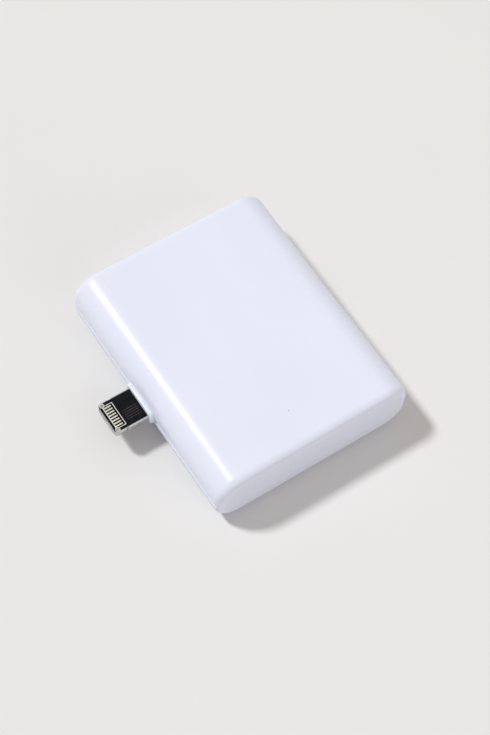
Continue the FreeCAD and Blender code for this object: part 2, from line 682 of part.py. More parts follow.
PLUG_NOTCH = "(plug_width / 2 + fit_gap + bracket_steel + loose_gap)"
COLLAR_NOTCH = "(collar_width / 2 + collar_flange + loose_gap)"
SOCKET_NOTCH = "(socket_width / 2 + loose_gap)"
JACK_NOTCH = "(jack_width / 2 + loose_gap)"
CAP_NOTCH = "(button_width / 2 + flange_margin + 2 * loose_gap)"
LEAD_OUT = "(%s + lead_start + lead_bend)" % CELL_FRONT
LEAD_NOTCH = "(lead_radius + loose_gap)"
board_notches = [
    board_notch("notch_plug", "-" + SIDE, "-%s + loose_gap" % BRACKET_BACK,
                "plug_offset - " + PLUG_NOTCH, "plug_offset + " + PLUG_NOTCH),
    board_notch("notch_collar", "-" + SIDE, "-%s + loose_gap" % FLANGE_BACK,
                "plug_offset - " + COLLAR_NOTCH, "plug_offset + " + COLLAR_NOTCH),
    board_notch("notch_socket", SOCKET_BACK + " - loose_gap", SIDE,
                "socket_offset - " + SOCKET_NOTCH, "socket_offset + " + SOCKET_NOTCH),
    board_notch("notch_jack", JACK_END + " - loose_gap", SIDE,
                "-jack_offset - " + JACK_NOTCH, "-jack_offset + " + JACK_NOTCH),
    board_notch("notch_button", BUTTON_PLACE + " - " + CAP_NOTCH, BUTTON_PLACE + " + " + CAP_NOTCH,
                CAP_BACK + " - button_travel - 2 * loose_gap", END),
    board_notch("notch_leads", "-lead_spacing / 2 - " + LEAD_NOTCH, "lead_spacing / 2 + " + LEAD_NOTCH,
                LEAD_OUT + " - " + LEAD_NOTCH, LEAD_OUT + " + " + LEAD_NOTCH),
]
node("main_board", cut("main_board", board_slab, *(board_notches + board_holes)))
node("board_screws", group("board_screws", screws))


def chip(name, side_x, side_y, rise, x_place, y_place, corner="chip_corner"):
    """A moulded package with rounded upright corners, standing on the board."""
    return prism(name, "XY_Plane", side_x, side_y, rise,
                 (x_place, y_place, "%s + (%s) / 2" % (BOARD_TOP, rise)), corner)


node("radio_chip", chip("radio_chip", "radio_side", "radio_side", "radio_height", "can_x", "can_y"))
can_outer = chip("can_outer", "can_side", "can_side", "can_height", "can_x", "can_y", "can_corner")
can_room = block("can_room",
                 ("can_side - 2 * can_steel", "can_side - 2 * can_steel", "can_height - can_steel"),
                 ("can_x", "can_y", BOARD_TOP))
vents = [rod("can_vent_%d_%d" % (column, line), "z", "can_vent_radius", "can_height",
             ("can_x + %d * can_vent_pitch" % column, "can_y + %d * can_vent_pitch" % line,
              BOARD_TOP + " + can_height / 2"))
         for column in (-1, 0, 1) for line in (-1, 0, 1)]
node("shield_can", cut("shield_can", cut("can_hollowed", can_outer, can_room), *vents))

for name, side_x, side_y, rise, x_place, y_place in (
        ("antenna", "antenna_length", "antenna_width", "antenna_height", "antenna_x",
         "-(%s - board_gap - antenna_width)" % INNER_END),
        ("crystal", "crystal_length", "crystal_width", "crystal_height", "can_x",
         "can_y + can_side / 2 + crystal_width"),
        ("audio_chip", "audio_side", "audio_side", "chip_height", "audio_x", "audio_y"),
        ("memory_chip", "memory_length", "memory_width", "chip_height", "memory_x", "memory_y"),
        ("plug_chip", "small_chip_side", "small_chip_side", "chip_height",
         "-%s + small_chip_side" % BRACKET_BACK, "plug_offset"),
        ("charge_chip", "charge_side", "charge_side", "chip_height", "charge_x", "charge_y"),
        ("power_coil", "coil_side", "coil_side", "coil_height", "coil_x", "coil_y")):
    node(name, chip(name, side_x, side_y, rise, x_place, y_place))

# Ceramic capacitors and chip resistors stand in short rows beside the chips that they serve.
capacitors = []
resistors = []


def in_row(number, middle, count):
    """The place of one piece in a row of count pieces about middle."""
    return "%s + (%d - (%s - 1) / 2) * passive_pitch" % (middle, number, count)


CAPACITOR = ("passive_width", "passive_length", "capacitor_height")
CAPACITOR_TURNED = ("passive_length", "passive_width", "capacitor_height")
CAPACITOR_LARGE = ("2 * passive_length", "2 * passive_width", "2 * capacitor_height")
RESISTOR = ("passive_width", "passive_length", "resistor_height")
RESISTOR_TURNED = ("passive_length", "passive_width", "resistor_height")
for number in range(int(SIZES["audio_capacitors"])):
    spot = (in_row(number, "audio_x", "audio_capacitors"), "audio_y - audio_side / 2 - passive_length",
            BOARD_TOP)
    capacitors.append(block("capacitor_audio_%d" % number, CAPACITOR, spot))
for number in range(int(SIZES["power_capacitors"])):
    spot = ("coil_x + coil_side / 2 + passive_length", in_row(number, "coil_y", "power_capacitors"), BOARD_TOP)
    capacitors.append(block("capacitor_power_%d" % number, CAPACITOR_TURNED, spot))
for number in range(int(SIZES["output_capacitors"])):
    spot = ("output_x", "output_y - %d * 2 * passive_pitch" % number, BOARD_TOP)
    capacitors.append(block("capacitor_output_%d" % number, CAPACITOR_LARGE, spot))
for number in range(int(SIZES["memory_resistors"])):
    spot = (in_row(number, "memory_x", "memory_resistors"), "memory_y + memory_width / 2 + passive_length",
            BOARD_TOP)
    resistors.append(block("resistor_memory_%d" % number, RESISTOR, spot))
for number in range(int(SIZES["plug_resistors"])):
    spot = ("-%s + small_chip_side" % BRACKET_BACK,
            "plug_offset - small_chip_side - %d * passive_pitch" % number, BOARD_TOP)
    resistors.append(block("resistor_plug_%d" % number, RESISTOR_TURNED, spot))
node("capacitors", group("capacitors", capacitors))
node("resistors", group("resistors", resistors))

# The status light: a side-firing diode on the board and a clear rod, flanged inside the wall,
# that carries its light out through the far end.
FLANGE_END = "(%s - fit_gap)" % INNER_END
node("status_led", block("status_led", ("led_length", "led_depth", "led_height"),
                         (LIGHT_PLACE, "%s - light_flange_depth - loose_gap - led_depth / 2" % FLANGE_END,
                          BOARD_TOP)))
light_rod = rod("light_rod", "y", "light_radius", "light_flange_depth + wall",
                (LIGHT_PLACE, FLANGE_END + " - light_flange_depth", LIGHT_HEIGHT))
light_flange = rod("light_flange", "y", "light_flange_radius", "light_flange_depth",
                   (LIGHT_PLACE, FLANGE_END + " - light_flange_depth", LIGHT_HEIGHT))
node("light_pipe", join("light_pipe", light_rod, light_flange))

# The button: a cap in the far end with a flange that keeps it in, and the side-push switch behind
# it. Pressed, the cap pushes the plunger in and the snap dome under the plunger gives way.
HEAD_LENGTH = "(wall + fit_gap + button_proud + flange_depth / 2)"
button_head = prism("button_head", "XZ_Plane", "button_width", "button_height", HEAD_LENGTH,
                    (BUTTON_PLACE, "%s + button_proud - %s / 2" % (END, HEAD_LENGTH), BUTTON_HEIGHT),
                    "button_corner", ((1, "button_edge_radius"),))
button_flange = prism("button_flange", "XZ_Plane", "button_width + 2 * flange_margin",
                      "button_height + 2 * flange_margin", "flange_depth",
                      (BUTTON_PLACE, CAP_BACK + " + flange_depth / 2", BUTTON_HEIGHT), "button_corner")
node("button_cap", join("button_cap", button_head, button_flange))
plunger_length = "(3 * button_travel + pocket_depth - dome_rise - 2 * press_gap)"
node("switch_plunger", block("switch_plunger", ("plunger_width", plunger_length, "plunger_height"),
                             (BUTTON_PLACE, "%s - %s / 2" % (CAP_BACK, plunger_length),
                              BUTTON_HEIGHT + " - plunger_height / 2")))
SWITCH_MIDDLE = "%s - switch_depth / 2" % SWITCH_FRONT
switch_block = block("switch_block", ("switch_width", "switch_depth", "switch_height"),
                     (BUTTON_PLACE, SWITCH_MIDDLE, BOARD_TOP))
switch_pocket = block("switch_pocket", ("plunger_width + 2 * fit_gap", "2 * pocket_depth",
                                        "plunger_height + 2 * fit_gap"),
                      (BUTTON_PLACE, SWITCH_FRONT, BUTTON_HEIGHT + " - plunger_height / 2 - fit_gap"))
node("switch_body", cut("switch_body", switch_block, switch_pocket))
lid_plate = block("lid_plate",
                  ("switch_width + 2 * switch_steel", "switch_depth", "switch_height + switch_steel"),
                  (BUTTON_PLACE, SWITCH_MIDDLE, BOARD_TOP))
lid_room = block("lid_room", ("switch_width", "2 * switch_depth", "switch_height"),
                 (BUTTON_PLACE, SWITCH_MIDDLE, BOARD_TOP))
node("switch_cover", cut("switch_cover", lid_plate, lid_room))

# The snap dome is a thin strip bowed towards the plunger, so its two faces are arcs of one circle
# centre: a ring's segment cut from the gap between two cylinders.
DOME_BOW = "((plunger_width * plunger_width / 4 + dome_rise * dome_rise) / (2 * dome_rise))"
DOME_CENTRE = "(%s - pocket_depth + dome_rise - %s)" % (SWITCH_FRONT, DOME_BOW)
dome_low = BUTTON_HEIGHT + " - plunger_height / 2"
dome_solid = rod("dome_solid", "z", DOME_BOW, "plunger_height", (BUTTON_PLACE, DOME_CENTRE, dome_low))
dome_hollow = rod("dome_hollow", "z", DOME_BOW + " - dome_steel", "plunger_height",
                  (BUTTON_PLACE, DOME_CENTRE, dome_low))
dome_keep = block("dome_keep", ("plunger_width", "dome_rise", "plunger_height"),
                  (BUTTON_PLACE, "%s - pocket_depth + dome_rise / 2" % SWITCH_FRONT, dome_low))
node("switch_dome", common("switch_dome", cut("dome_ring", dome_solid, dome_hollow), dome_keep))

# The battery: a flat pouch cell on foam tape on the case floor, its protection board across the far
# end, and two leads that rise through the board's slot and bend over onto their solder joints.
CELL_MIDDLE = ("(%s - %s) / 2" % (CELL_RIGHT, CELL_LEFT), "(%s - %s) / 2" % (CELL_BACK, CELL_FRONT))
CELL_WIDTH = "(%s + %s)" % (CELL_RIGHT, CELL_LEFT)
CELL_LENGTH = "(%s + %s)" % (CELL_BACK, CELL_FRONT)
node("battery_cell", prism("battery_cell", "XY_Plane", CELL_WIDTH, CELL_LENGTH, "battery_thickness",
                           CELL_MIDDLE + (CELL_LOW + " + battery_thickness / 2",), "battery_corner",
                           ((-1, "battery_edge_radius"), (1, "battery_edge_radius"))))
PAD_SIZE = (CELL_WIDTH + " - 2 * pad_margin", CELL_LENGTH + " - 2 * pad_margin", "pad_thickness")
node("battery_pad", block("battery_pad", PAD_SIZE, CELL_MIDDLE + ("wall",)))
node("battery_board", block("battery_board", ("battery_board_width", "battery_board_thickness",
                                              "battery_board_height"),
                            ("0", CELL_BACK + " + battery_board_thickness / 2",
                             CELL_LOW + " + (battery_thickness - battery_board_height) / 2")))


def number_of(name):
    return sheet.get(name)


def lead(label, side):
    """One lead, whole: out of the protection board, up through the slot, over and down."""
    out = (number_of("case_length") / 2 - number_of("wall") - number_of("post_inset")
           - number_of("post_radius") - number_of("battery_gap"))
    bend = number_of("lead_bend")
    low = number_of("wall") + number_of("pad_thickness") + number_of("battery_thickness") / 2
    joint_top = number_of("plug_height") + number_of("board_thickness") / 2 + number_of("joint_height")
    high = joint_top + number_of("lead_rise")
    x_place = side * number_of("lead_spacing") / 2
    turn = out + number_of("lead_start")

    def point(along_y, along_z):
        return FreeCAD.Vector(x_place, along_y, along_z)

    rise = turn + bend
    slant = bend * math.sqrt(0.5)
    path = Part.Wire([
        Part.LineSegment(point(out, low), point(turn, low)).toShape(),
        Part.Arc(point(turn, low), point(turn + slant, low + bend - slant), point(rise, low + bend)).toShape(),
        Part.LineSegment(point(rise, low + bend), point(rise, high)).toShape(),
        Part.Arc(point(rise, high), point(turn, high + bend), point(turn - bend, high)).toShape(),
        Part.LineSegment(point(turn - bend, high), point(turn - bend, joint_top)).toShape(),
    ])
    radius = number_of("lead_radius")
    section = Part.Wire(Part.makeCircle(radius, point(out, low), FreeCAD.Vector(0, 1, 0)))
    thing = doc.addObject("Part::Feature", label)
    thing.Shape = path.makePipeShell([section], True, False)
    wanted = math.pi * radius ** 2 * path.Length
    if abs(thing.Shape.Volume - wanted) > 0.01 * wanted:
        raise RuntimeError("%s has volume %.3f, not %.3f" % (label, thing.Shape.Volume, wanted))
    joint = doc.addObject("Part::Cone", label + "_joint")
    bind(joint, "Radius1", "joint_radius")
    bind(joint, "Radius2", "lead_radius + fit_gap")
    bind(joint, "Height", "joint_height")
    place(joint, ("%d * lead_spacing / 2" % side, LEAD_OUT + " - 2 * lead_bend", BOARD_TOP))
    node(label, thing)
    return joint


joints = [lead("battery_lead_red", -1), lead("battery_lead_black", 1)]
node("lead_solder", group("lead_solder", joints))

doc.recompute()
for thing in doc.Objects:
    if "Invalid" in thing.State or "Error" in thing.State:
        raise RuntimeError("%s failed: %s" % (thing.Name, thing.State))
for name, thing in nodes.items():
    if thing.Shape.isNull() or not thing.Shape.isValid() or not thing.Shape.Solids:
        raise RuntimeError("%s has no valid solid" % name)

os.makedirs("parts", exist_ok=True)
for name, thing in nodes.items():
    thing.Shape.exportStep(os.path.join("parts", name + ".step"))
print("%d sub-parts written" % len(nodes))
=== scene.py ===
import math
import bmesh
import bpy
from mathutils import Matrix, Vector


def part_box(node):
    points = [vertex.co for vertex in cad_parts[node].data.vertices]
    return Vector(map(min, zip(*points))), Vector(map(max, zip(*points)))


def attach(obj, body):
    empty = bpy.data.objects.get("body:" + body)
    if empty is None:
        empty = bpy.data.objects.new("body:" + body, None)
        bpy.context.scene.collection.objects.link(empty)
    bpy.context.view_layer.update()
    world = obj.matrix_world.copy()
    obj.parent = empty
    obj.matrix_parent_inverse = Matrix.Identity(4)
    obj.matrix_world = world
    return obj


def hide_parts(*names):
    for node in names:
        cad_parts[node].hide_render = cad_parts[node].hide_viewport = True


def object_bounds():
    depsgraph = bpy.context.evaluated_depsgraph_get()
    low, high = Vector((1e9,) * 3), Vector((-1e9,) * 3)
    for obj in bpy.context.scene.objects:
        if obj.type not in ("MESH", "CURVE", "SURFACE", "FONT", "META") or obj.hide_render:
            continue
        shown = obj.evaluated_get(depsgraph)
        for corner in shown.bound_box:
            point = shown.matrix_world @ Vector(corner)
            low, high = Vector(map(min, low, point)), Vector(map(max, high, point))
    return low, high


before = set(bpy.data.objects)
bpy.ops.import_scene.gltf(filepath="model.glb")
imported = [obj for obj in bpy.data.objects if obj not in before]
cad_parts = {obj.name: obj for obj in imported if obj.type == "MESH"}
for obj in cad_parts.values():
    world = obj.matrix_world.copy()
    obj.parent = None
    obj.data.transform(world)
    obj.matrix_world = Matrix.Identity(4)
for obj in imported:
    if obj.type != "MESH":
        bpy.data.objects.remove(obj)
cad_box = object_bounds()

# Bottom cover. A tray between the top cover's end walls: white ABS, injection moulded in a polished
# tool, with the screw posts, the battery ribs and the snap-fit lip drawn up from its floor. It is a
# cool white right through, with faint flow marks, and it picks up the odd dark speck of dust.
MM = 0.001
WHITE_PLASTIC = (228, 232, 247)
WHITE_PLASTIC_FLOW = (231, 234, 249)
WHITE_ROUGHNESS = (0.27, 0.32)
MOULD_GRAIN = 0.12 * MM
MOULD_DEPTH = 0.0012 * MM
FLOW_MARK = 14 * MM
FLOW_STRETCH = (1, 2, 1)
DUST = (96, 92, 92)
DUST_SPACING = 5.2 * MM
DUST_RADIUS = 0.1 * MM
DUST_CORE = 0.6
NOISE_LOW = 0.35
NOISE_HIGH = 0.65


def tint(colour):
    """A colour in screen values from 0 to 255, as the linear colour that a shader takes."""
    linear = [((value / 255 + 0.055) / 1.055) ** 2.4 for value in colour]
    return (*linear, 1.0)


def new_finish(name, steady):
    """A material with one Principled shader; what is the same all over it is set on its own sockets."""
    material = bpy.data.materials.new(name)
    material.use_nodes = True
    shader = material.node_tree.nodes["Principled BSDF"]
    for socket, value in steady.items():
        shader.inputs[socket].default_value = value
    return material, material.node_tree, shader


def in_place(tree, size, stretch=(1, 1, 1)):
    """The piece's own coordinates, counted in steps of size and pulled out along an axis."""
    where = tree.nodes.new("ShaderNodeTexCoord")
    scale = tree.nodes.new("ShaderNodeMapping")
    scale.inputs["Scale"].default_value = [1 / (size * pull) for pull in stretch]
    tree.links.new(where.outputs["Object"], scale.inputs["Vector"])
    return scale.outputs["Vector"]


def noise(tree, size, stretch=(1, 1, 1), detail=3.0):
    """Smooth noise whose lumps are about size across."""
    texture = tree.nodes.new("ShaderNodeTexNoise")
    texture.inputs["Scale"].default_value = 1.0
    texture.inputs["Detail"].default_value = detail
    tree.links.new(in_place(tree, size, stretch), texture.inputs["Vector"])
    return texture.outputs["Fac"]


def spread(tree, value, low, high, from_low=NOISE_LOW, from_high=NOISE_HIGH):
    """The middle of a noise's range, spread between two numbers."""
    mapped = tree.nodes.new("ShaderNodeMapRange")
    mapped.inputs["From Min"].default_value = from_low
    mapped.inputs["From Max"].default_value = from_high
    mapped.inputs["To Min"].default_value = low
    mapped.inputs["To Max"].default_value = high
    tree.links.new(value, mapped.inputs["Value"])
    return mapped.outputs["Result"]


def tones(tree, value, first, second):
    """A ramp from one colour to another, across the middle of a noise's range."""
    ramp = tree.nodes.new("ShaderNodeValToRGB")
    stops = ramp.color_ramp.elements
    stops[0].position = NOISE_LOW
    stops[0].color = tint(first)
    stops[1].position = NOISE_HIGH
    stops[1].color = tint(second)
    tree.links.new(value, ramp.inputs["Fac"])
    return ramp.outputs["Color"]


def relief(tree, shader, height, depth):
    """Raise and sink the surface by depth where height goes from 0 to 1."""
    bump = tree.nodes.new("ShaderNodeBump")
    bump.inputs["Strength"].default_value = 1.0
    bump.inputs["Distance"].default_value = depth
    tree.links.new(height, bump.inputs["Height"])
    tree.links.new(bump.outputs["Normal"], shader.inputs["Normal"])


def white_plastic():
    """Semi-gloss white ABS: mould grain, faint flow marks and sparse specks of dust."""
    material, tree, shader = new_finish("white_plastic", {"IOR": 1.5, "Specular IOR Level": 0.34})
    fine = noise(tree, MOULD_GRAIN, detail=2.0)
    body = tones(tree, noise(tree, FLOW_MARK, FLOW_STRETCH), WHITE_PLASTIC, WHITE_PLASTIC_FLOW)
    specks = tree.nodes.new("ShaderNodeTexVoronoi")
    specks.inputs["Scale"].default_value = 1.0
    tree.links.new(in_place(tree, DUST_SPACING), specks.inputs["Vector"])
    edge = DUST_RADIUS / DUST_SPACING
    dusty = spread(tree, specks.outputs["Distance"], 1.0, 0.0, edge * DUST_CORE, edge)
    blend = tree.nodes.new("ShaderNodeMix")
    blend.data_type = "RGBA"
    blend.inputs["B"].default_value = tint(DUST)
    tree.links.new(dusty, blend.inputs["Factor"])
    tree.links.new(body, blend.inputs["A"])
    tree.links.new(blend.outputs["Result"], shader.inputs["Base Color"])
    tree.links.new(spread(tree, fine, *WHITE_ROUGHNESS), shader.inputs["Roughness"])
    relief(tree, shader, fine, MOULD_DEPTH)
    return material


def paint(node, material):
    """Give a CAD node this finish in all its material slots."""
    mesh_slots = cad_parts[node].material_slots
    for mesh_slot in mesh_slots:
        mesh_slot.material = material
    if not mesh_slots:
        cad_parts[node].data.materials.append(material)


case_white = white_plastic()
paint("bottom_cover", case_white)

# Battery cell. A flat lithium pouch: layers sealed in aluminium laminate, which is soft enough to
# show faint crinkles and a dull, slightly warm sheen. It lies between the ribs of the floor.
FOIL = ((150, 150, 152), (176, 178, 182))
CRINKLE = 2.4 * MM
CRINKLE_DEPTH = 0.04 * MM


def plain_finish(name, colours, roughness, patch, grain, depth, steady=(), stretch=(1, 1, 1)):
    """A finish whose tone drifts in patches, and whose fine grain changes roughness and relief."""
    material, tree, shader = new_finish(name, dict(steady))
    fine = noise(tree, grain, stretch)
    tree.links.new(tones(tree, noise(tree, patch, stretch), *colours), shader.inputs["Base Color"])
    tree.links.new(spread(tree, fine, *roughness), shader.inputs["Roughness"])
    relief(tree, shader, fine, depth)
    return material


paint("battery_cell", plain_finish("pouch_foil", FOIL, roughness=(0.28, 0.42), patch=6 * MM,
                                   grain=CRINKLE, depth=CRINKLE_DEPTH, steady={"Metallic": 1.0},
                                   stretch=(1, 1.6, 1)))

# Battery pad. A strip of closed-cell foam tape that holds the pouch to the floor of the case. It is
# die cut, so its edges are upright, and it bulges a little at the middle where nothing presses it.
# The darker grey is painted shade for the sunken cell edges; the paler one is the foam's face.
FOAM_HOLLOW_SHADE = (62, 62, 66)
FOAM_PALE = (84, 84, 88)
FOAM_CELL = 0.16 * MM
FOAM_CELL_DEPTH = 0.02 * MM
FOAM_ROUGHNESS = (0.75, 0.95)
PAD_STEPS = 28
PAD_CORNER = 1.2 * MM
PAD_CLEARANCE = 0.02 * MM
PAD_SINK = 0.05 * MM


def new_piece(name, mesh, material, body="case"):
    """Make an object of a finished mesh, give it its finish and let it ride on its body."""
    data = bpy.data.meshes.new(name)
    bmesh.ops.recalc_face_normals(mesh, faces=mesh.faces)
    mesh.to_mesh(data)
    mesh.free()
    piece = bpy.data.objects.new(name, data)
    bpy.context.scene.collection.objects.link(piece)
    data.materials.append(material)
    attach(piece, body)
    return piece


def cushion_mesh(low, high, steps, corner, sink):
    """A thin closed pad: rounded corners in plan, and faces that rise from their edges to the middle."""
    mesh = bmesh.new()
    middle = (low + high) / 2
    half = (high - low) / 2
    layers = []
    for side in (-1, 1):
        grid = {}
        for column in range(steps + 1):
            for line in range(steps + 1):
                x = (2 * column / steps - 1) * half.x
                y = (2 * line / steps - 1) * half.y
                over_x = max(0.0, abs(x) - (half.x - corner))
                over_y = max(0.0, abs(y) - (half.y - corner))
                reach = math.hypot(over_x, over_y)
                if reach > corner:
                    x -= math.copysign(over_x * (1 - corner / reach), x)
                    y -= math.copysign(over_y * (1 - corner / reach), y)
                inward = min(half.x - abs(x), half.y - abs(y)) / corner
                fall = sink * (1 - min(1.0, max(0.0, inward))) ** 2
                grid[column, line] = mesh.verts.new((middle.x + x, middle.y + y,
                                                     middle.z + side * (half.z - fall)))
        for column in range(steps):
            for line in range(steps):
                mesh.faces.new((grid[column, line], grid[column + 1, line],
                                grid[column + 1, line + 1], grid[column, line + 1]))
        layers.append(grid)
    rim = [(step, 0) for step in range(steps)] + [(steps, step) for step in range(steps)]
    rim += [(steps - step, steps) for step in range(steps)] + [(0, steps - step) for step in range(steps)]
    for here, there in zip(rim, rim[1:] + rim[:1]):
        mesh.faces.new((layers[0][here], layers[0][there], layers[1][there], layers[1][here]))
    return mesh


def foam():
    """Grey closed-cell foam: small round cells, with painted shade darkening their hollows."""
    material, tree, shader = new_finish("foam_tape", {"Sheen Weight": 0.15})
    cells = tree.nodes.new("ShaderNodeTexVoronoi")
    cells.inputs["Scale"].default_value = 1.0
    tree.links.new(in_place(tree, FOAM_CELL), cells.inputs["Vector"])
    # Painted shade: the colour darkens towards the sunken cell edges.
    tree.links.new(tones(tree, cells.outputs["Distance"], FOAM_PALE, FOAM_HOLLOW_SHADE), shader.inputs["Base Color"])
    tree.links.new(spread(tree, cells.outputs["Distance"], *FOAM_ROUGHNESS), shader.inputs["Roughness"])
    relief(tree, shader, cells.outputs["Distance"], -FOAM_CELL_DEPTH)
    return material


pad_low, pad_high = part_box("battery_pad")
inset = Vector((PAD_CLEARANCE, PAD_CLEARANCE, PAD_CLEARANCE))
pad_mesh = cushion_mesh(pad_low + inset, pad_high - inset, PAD_STEPS, PAD_CORNER, PAD_SINK)
foam_pad = new_piece("battery_foam_pad", pad_mesh, foam())
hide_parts("battery_pad")

# Battery board and leads. A slip of circuit board is welded across the pouch's tabs, and a red and a
# black lead, each stranded copper in a silicone sleeve, are soldered from it to the main board.
MASK_GREEN = ((12, 60, 40), (18, 78, 52))
MASK_PATCH = 5 * MM
MASK_ROUGHNESS = (0.3, 0.4)
WEAVE = 0.35 * MM
WEAVE_STRETCH = (1, 40, 1)
WEAVE_DEPTH = 0.002 * MM
WEAVE_WOBBLE = 0.6
RED_SLEEVE = ((158, 22, 24), (176, 30, 28))
BLACK_SLEEVE = ((20, 20, 22), (30, 30, 32))
SOLDER = ((176, 178, 180), (198, 200, 202))


def solder_mask():
    """Green lacquer over a glass cloth whose weave shows faintly, glossy where it pools."""
    material, tree, shader = new_finish("green_board", {"IOR": 1.52, "Coat Weight": 0.35,
                                                        "Coat Roughness": 0.12})
    across = tree.nodes.new("ShaderNodeTexWave")
    across.inputs["Scale"].default_value = 1.0
    across.inputs["Distortion"].default_value = WEAVE_WOBBLE
    threads = across.outputs["Fac"]
    tree.links.new(in_place(tree, WEAVE, WEAVE_STRETCH), across.inputs["Vector"])
    tree.links.new(tones(tree, noise(tree, MASK_PATCH), *MASK_GREEN), shader.inputs["Base Color"])
    glossy = spread(tree, threads, *MASK_ROUGHNESS, from_low=0.0, from_high=1.0)
    tree.links.new(glossy, shader.inputs["Roughness"])
    relief(tree, shader, threads, WEAVE_DEPTH)
    return material


green_mask = solder_mask()
paint("battery_board", green_mask)
for node, colours in (("battery_lead_red", RED_SLEEVE), ("battery_lead_black", BLACK_SLEEVE)):
    paint(node, plain_finish(node, colours, roughness=(0.38, 0.5), patch=1.5 * MM, grain=0.2 * MM,
                             depth=0.004 * MM))
tin_solder = plain_finish("solder", SOLDER, roughness=(0.16, 0.3), patch=0.8 * MM, grain=0.3 * MM,
                          depth=0.01 * MM, steady={"Metallic": 1.0})
paint("lead_solder", tin_solder)

# Main board. Glass-fibre board in green lacquer, with gold-plated tracks under the lacquer and white
# printed outlines round its chips. It rests on the four posts, and a screw goes down into each.
TRACK_GREEN = ((30, 104, 66), (38, 116, 74))
PRINT_WHITE = ((214, 216, 212), (226, 228, 224))
LAYER = 0.02 * MM
TRACK_WIDTH = 0.18 * MM
TRACK_PITCH = 0.5 * MM
CAN_TRACKS = 6
CAN_FAN = 2
MEMORY_TRACKS = 4
MEMORY_FAN = 1.6
SHARPEST_MITRE = 0.3
PRINT_WIDTH = 0.12 * MM
PRINT_MARGIN = 0.3 * MM
SCREW_STEEL = ((120, 120, 122), (148, 148, 150))


def flat_strip(mesh, path, width, low, high, closed=False):
    """Lay a strip of even width along a path of (x, y) points, with mitred corners, from low to high."""
    points = [Vector(point) for point in path]
    count = len(points)
    rows = []
    for number, point in enumerate(points):
        before = points[number - 1] if closed or number else None
        after = points[(number + 1) % count] if closed or number + 1 < count else None
        into = (point - before).normalized() if before else (after - point).normalized()
        out = (after - point).normalized() if after else into
        way = (into + out).normalized()
        side = Vector((-way.y, way.x)) * (width / 2 / max(SHARPEST_MITRE, way.dot(into)))
        rows.append([mesh.verts.new((*(point + side * sign), height))
                     for sign, height in ((-1, low), (1, low), (1, high), (-1, high))])
    pairs = zip(rows, rows[1:] + rows[:1]) if closed else zip(rows, rows[1:])
    for here, there in pairs:
        for corner in range(4):
            following = (corner + 1) % 4
            mesh.faces.new((here[corner], here[following], there[following], there[corner]))
    if not closed:
        mesh.faces.new(rows[0])
        mesh.faces.new(rows[-1])


def around(low, high, margin):
    """The corners of a box in plan, set out by a margin."""
    left, near = low.x - margin, low.y - margin
    right, far = high.x + margin, high.y + margin
    return [(left, near), (right, near), (right, far), (left, far)]


paint("main_board", green_mask)
paint("board_screws", plain_finish("screw_steel", SCREW_STEEL, roughness=(0.25, 0.4), patch=0.6 * MM,
                                   grain=0.08 * MM, depth=0.002 * MM, steady={"Metallic": 1.0}))
board_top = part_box("main_board")[1].z
can_low, can_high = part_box("shield_can")
audio_low, audio_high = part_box("audio_chip")
memory_low, memory_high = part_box("memory_chip")
tracks = bmesh.new()
for number in range(CAN_TRACKS):
    place = (number - (CAN_TRACKS - 1) / 2) * TRACK_PITCH
    start_x = (can_low.x + can_high.x) / 2 + place * CAN_FAN
    end_x = (audio_low.x + audio_high.x) / 2 + place
    bend_y = (can_low.y + audio_high.y) / 2
    jog = abs(end_x - start_x) / 2
    flat_strip(tracks, [(start_x, can_low.y), (start_x, bend_y + jog), (end_x, bend_y - jog),
                        (end_x, audio_high.y)], TRACK_WIDTH, board_top, board_top + LAYER)
for number in range(MEMORY_TRACKS):
    place = (number - (MEMORY_TRACKS - 1) / 2) * TRACK_PITCH
    start_y = (can_low.y + can_high.y) / 2 + place
    end_y = (memory_low.y + memory_high.y) / 2 + place * MEMORY_FAN
    bend_x = (can_high.x + memory_low.x) / 2
    jog = abs(end_y - start_y) / 2
    bend = min(jog, (memory_low.x - can_high.x) / 2 - TRACK_WIDTH)
    flat_strip(tracks, [(can_high.x, start_y), (bend_x - bend, start_y), (bend_x + bend, end_y),
                        (memory_low.x, end_y)], TRACK_WIDTH, board_top, board_top + LAYER)
track_green = plain_finish("track_under_lacquer", TRACK_GREEN, roughness=(0.28, 0.36), patch=3 * MM,
                           grain=0.3 * MM, depth=0.002 * MM)
new_piece("board_tracks", tracks, track_green)
outlines = bmesh.new()
for node in ("audio_chip", "memory_chip", "plug_chip", "charge_chip", "power_coil", "crystal", "antenna"):
    outline = around(*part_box(node), PRINT_MARGIN)
    flat_strip(outlines, outline, PRINT_WIDTH, board_top, board_top + LAYER, closed=True)
white_print = plain_finish("white_print", PRINT_WHITE, roughness=(0.6, 0.75), patch=1 * MM,
                           grain=0.1 * MM, depth=0.004 * MM)
new_piece("board_outlines", outlines, white_print)

# Chips. Silicon moulded in black epoxy, with the fine matt grain of the mould and a shallow round
# dimple that marks the first pin. The memory chip has bent legs, and the others sit on flat pads.
EPOXY = ((26, 26, 28), (36, 36, 38))
EPOXY_POLISHED = ((58, 58, 60), (66, 66, 68))
LEG_METAL = ((168, 168, 168), (190, 190, 188))
LEG_COUNT = 4
LEG_WIDTH = 0.4 * MM
LEG_PITCH = 0.889 * MM
LEG_THICKNESS = 0.15 * MM
LEG_EDGE = LEG_THICKNESS / 4
LEG_REACH = 0.8 * MM
LEG_BEND = 0.45
LEG_SHOULDER = 0.45
DIMPLE_RADIUS = 0.22 * MM
DIMPLE_TAPER = 0.8
DIMPLE_DEPTH = 0.015 * MM
DIMPLE_INSET = 0.5 * MM
DIMPLE_SIDES = 24


def box_mesh(mesh, low, high, bevel):
    """A block with small round edges between two corners."""
    size = high - low
    made = bmesh.ops.create_cube(mesh, size=1.0)["verts"]
    bmesh.ops.scale(mesh, verts=made, vec=size)
    bmesh.ops.translate(mesh, verts=made, vec=(low + high) / 2)
    edges = list(dict.fromkeys(edge for vertex in made for edge in vertex.link_edges))
    bmesh.ops.bevel(mesh, geom=edges, offset=bevel, segments=2, affect="EDGES", profile=0.5)


